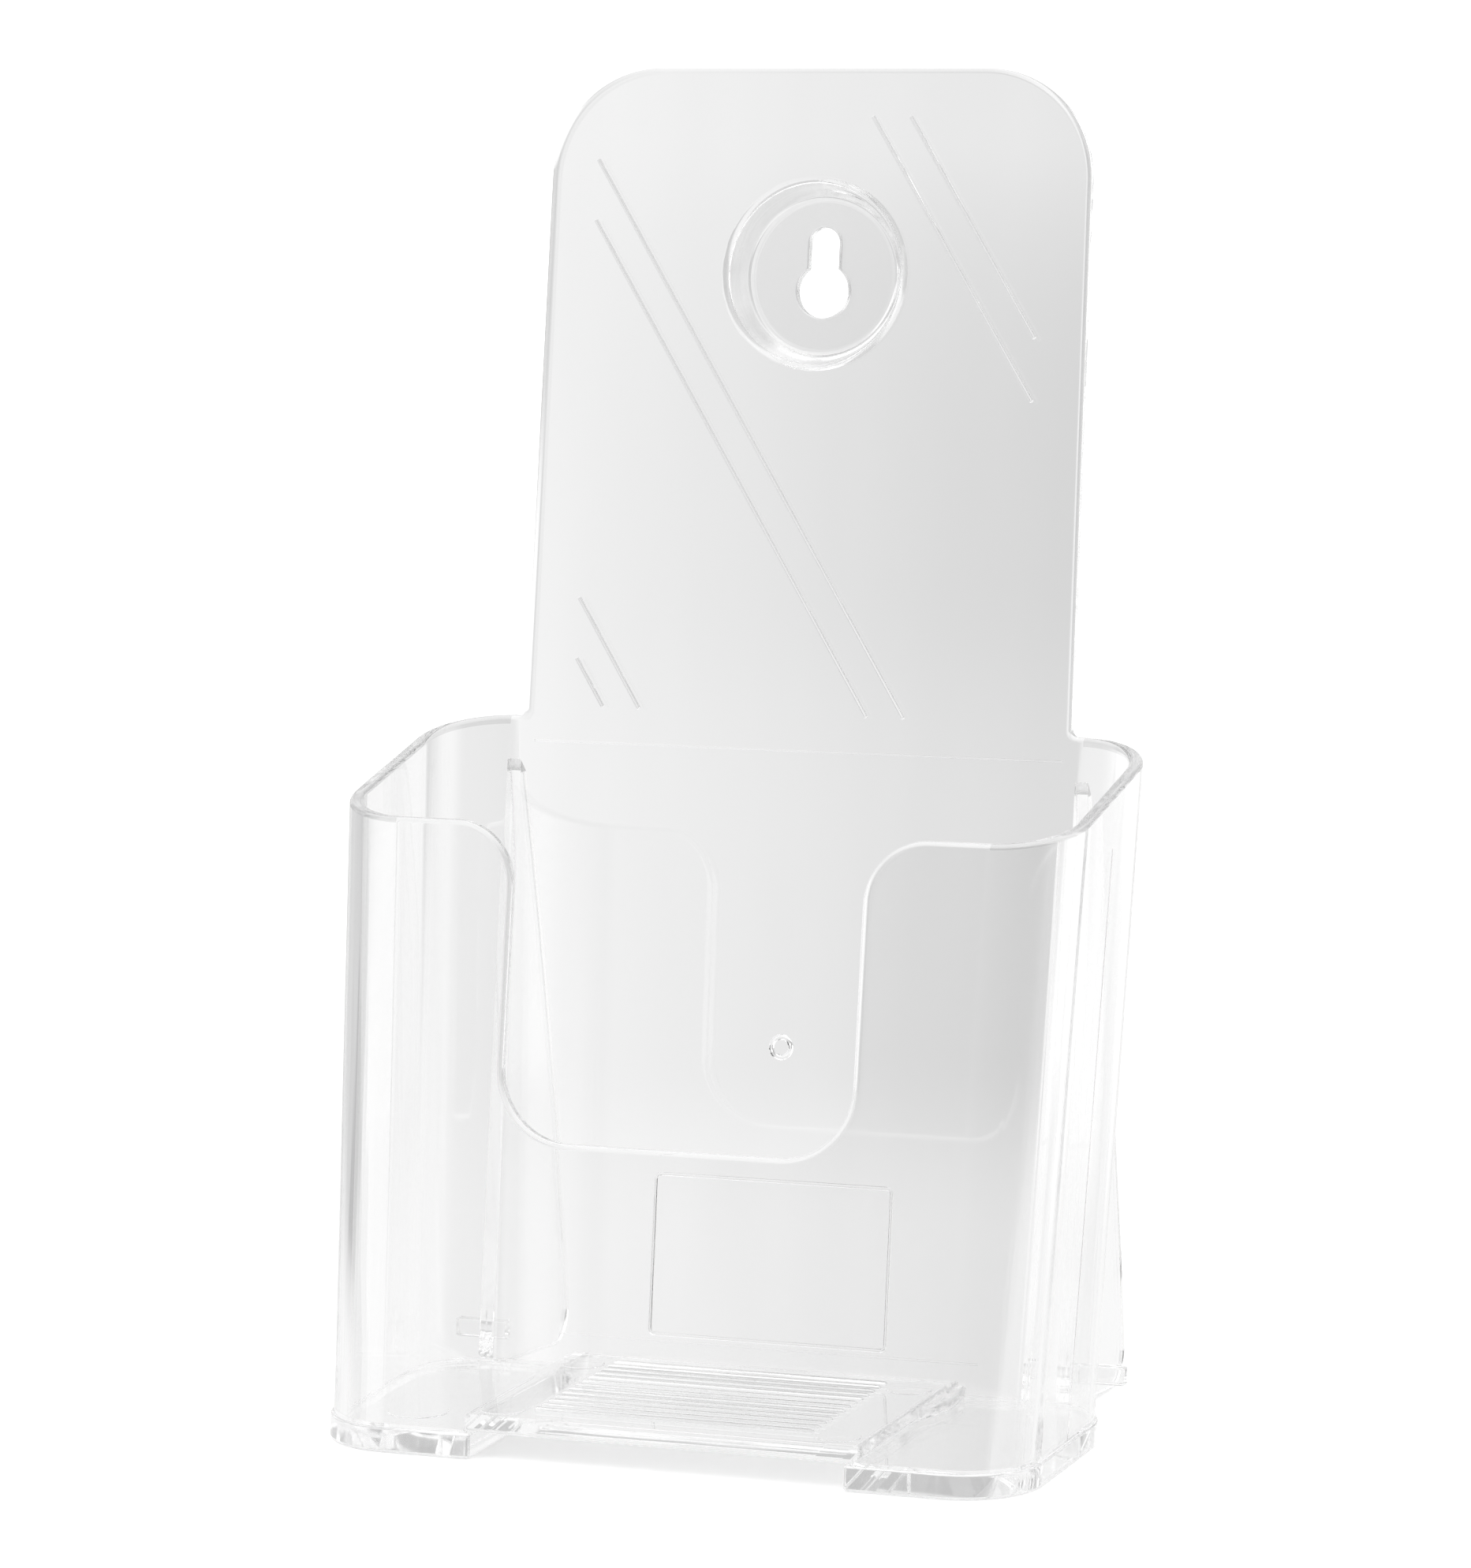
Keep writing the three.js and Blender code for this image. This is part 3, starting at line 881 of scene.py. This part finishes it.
# Two narrow darker screens stand at the sides: bearing where each starts and ends, and brightness.
FLAGS = ((-1.23, -0.96, 0.52), (1.20, 1.48, 0.95))
FLAG_EDGE = 0.05
FLAG_NEAR = (0.22, 0.3)  # metres from the rack
FLAG_FAR = (1.2, 1.0)
VIEW = (-sin(AZIMUTH), cos(AZIMUTH))  # the level direction that the camera faces


def bearing(tree, vector):
    """The angle of a level direction to the right of the camera's view, as seen from above."""
    ahead, right = (
        add_node(tree, "ShaderNodeVectorMath", {0: vector, 1: axis}, operation="DOT_PRODUCT")
        for axis in ((VIEW[0], VIEW[1], 0), (VIEW[1], -VIEW[0], 0))
    )
    return calculate(tree, "ARCTAN2", right.outputs["Value"], ahead.outputs["Value"])


def backdrop(tree, angle, behind, beside):
    """What stands behind the rack, from left to right, and what stands on either side of that."""
    graded = blend(tree, ease(tree, angle, *BACKDROP_GRADE), *behind)
    sides = blend(tree, ease(tree, angle, *MIDDLE), *beside)
    aside = calculate(tree, "ABSOLUTE", angle)
    return blend(tree, ease(tree, aside, *BACKDROP_EDGE), graded, sides)


def flags(tree, angle, share, light):
    """Adds the two darker screens at the sides. share says how much of them shows."""
    for start, end, dark in FLAGS:
        first = ease(tree, angle, start, start + FLAG_EDGE)
        last = ease(tree, angle, end, end - FLAG_EDGE)
        shown = calculate(tree, "MULTIPLY", first, last)
        light = blend(tree, calculate(tree, "MULTIPLY", shown, share), light, dark)
    return light


FLOOR_HALF = 40.0
FLOOR_DROP = 0.0002  # keeps the floor clear of the feet
FLOOR_COLOUR = (0.8, 0.8, 0.8, 1)
FLOOR_ROUGHNESS = 0.9
FLOOR_GLOW = 0.5


def stage():
    """A white floor. The clear plastic shows it as a graded backdrop."""
    bm = bmesh.new()
    bmesh.ops.create_grid(bm, x_segments=1, y_segments=1, size=FLOOR_HALF)
    floor = mesh_object("floor", bm)
    floor.location.z = -FLOOR_DROP
    material = bpy.data.materials.new("floor")
    material.use_nodes = True
    tree = material.node_tree
    white = tree.nodes["Principled BSDF"]
    white.inputs["Base Color"].default_value = FLOOR_COLOUR
    white.inputs["Roughness"].default_value = FLOOR_ROUGHNESS
    white.inputs["Specular IOR Level"].default_value = 0.0
    white.inputs["Emission Color"].default_value = (1, 1, 1, 1)
    white.inputs["Emission Strength"].default_value = FLOOR_GLOW
    place = add_node(tree, "ShaderNodeNewGeometry").outputs["Position"]
    offset = add_node(tree, "ShaderNodeVectorMath", {0: place, 1: TRIPOD}, operation="SUBTRACT")
    reach = vector_length(tree, place)
    midway = ease(tree, reach, *CLOSE_TO_MIDWAY)
    far = ease(tree, reach, *MIDWAY_TO_FAR)
    behind = [
        blend(tree, far, ease(tree, midway, 0.0, 1.0, close, middle), end)
        for close, middle, end in zip(CLOSE, MIDWAY, BACKDROP)
    ]
    beside = [
        ease(tree, reach, *BESIDE_FALL, near, end)
        for near, end in zip(BESIDE_NEAR, BESIDE_FAR)
    ]
    level = backdrop(tree, bearing(tree, offset.outputs[0]), behind, beside)
    shown = calculate(tree, "MULTIPLY", ease(tree, reach, *FLAG_NEAR), ease(tree, reach, *FLAG_FAR))
    level = flags(tree, bearing(tree, place), shown, level)
    level = blend(tree, ease(tree, reach, *NEAR_EDGE), level, NEAR_FLOOR)
    grey = add_node(tree, "ShaderNodeEmission", {"Strength": level})
    seen = add_node(tree, "ShaderNodeLightPath").outputs["Is Camera Ray"]
    both = add_node(tree, "ShaderNodeMixShader", {0: seen, 1: grey.outputs[0], 2: white.outputs[0]})
    tree.links.new(both.outputs[0], tree.nodes["Material Output"].inputs["Surface"])
    floor.data.materials.append(material)


def studio_light():
    """White to the camera. The plastic shows a dark front, a softbox, screens and a bright ceiling."""
    world = bpy.data.worlds.new("studio")
    bpy.context.scene.world = world
    world.use_nodes = True
    tree = world.node_tree
    where = add_node(tree, "ShaderNodeTexCoord").outputs["Generated"]
    up = add_node(tree, "ShaderNodeSeparateXYZ", {0: where}).outputs["Z"]
    angle = bearing(tree, where)
    aside = calculate(tree, "ABSOLUTE", angle)
    light = backdrop(tree, angle, BACKDROP, BESIDE_FAR)
    light = blend(tree, ease(tree, up, *LOW_RISE), light, REAR_LOW)
    light = blend(tree, ease(tree, up, *HIGH_RISE), light, REAR_HIGH)
    light = blend(tree, ease(tree, aside, *TO_SIDES), light, SIDES)
    light = blend(tree, ease(tree, aside, *TO_FRONT), light, FRONT)
    start = ease(tree, angle, *SOFTBOX_START)
    box = calculate(tree, "MULTIPLY", start, ease(tree, angle, *SOFTBOX_END))
    light = blend(tree, box, light, SOFTBOX)
    light = flags(tree, angle, 1.0, light)
    light = blend(tree, ease(tree, up, *CEILING_RISE), light, CEILING)
    seen = add_node(tree, "ShaderNodeLightPath").outputs["Is Camera Ray"]
    light = blend(tree, seen, light, 1.0)
    tree.links.new(light, tree.nodes["Background"].inputs["Strength"])
    tree.nodes["Background"].inputs["Color"].default_value = (1, 1, 1, 1)


def camera():
    """The camera, where it sees the rack from the front, a little to its right and from above."""
    back = Vector((sin(AZIMUTH) * cos(ELEVATION), -cos(AZIMUTH) * cos(ELEVATION), sin(ELEVATION)))
    data = bpy.data.cameras.new("camera")
    data.lens = LENS
    data.sensor_width = SENSOR
    made = bpy.data.objects.new("camera", data)
    made.rotation_mode = "QUATERNION"
    made.location = AIM + back * DISTANCE
    made.rotation_quaternion = (-back).to_track_quat("-Z", "Y") @ Quaternion((0, 0, 1), ROLL)
    bpy.context.scene.collection.objects.link(made)
    bpy.context.scene.camera = made


# ---------------------------------------------------------------- the scene

camera()
stage()
studio_light()
bpy.context.scene.view_settings.view_transform = "Standard"
# Light is reflected many times inside the clear walls before it leaves them.
bpy.context.scene.cycles.max_bounces = 128
bpy.context.scene.cycles.transmission_bounces = 128
bpy.context.scene.cycles.glossy_bounces = 96

rack = build_rack()
rack.data.materials.clear()
rack.data.materials.append(clear_plastic())
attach(rack, "root")
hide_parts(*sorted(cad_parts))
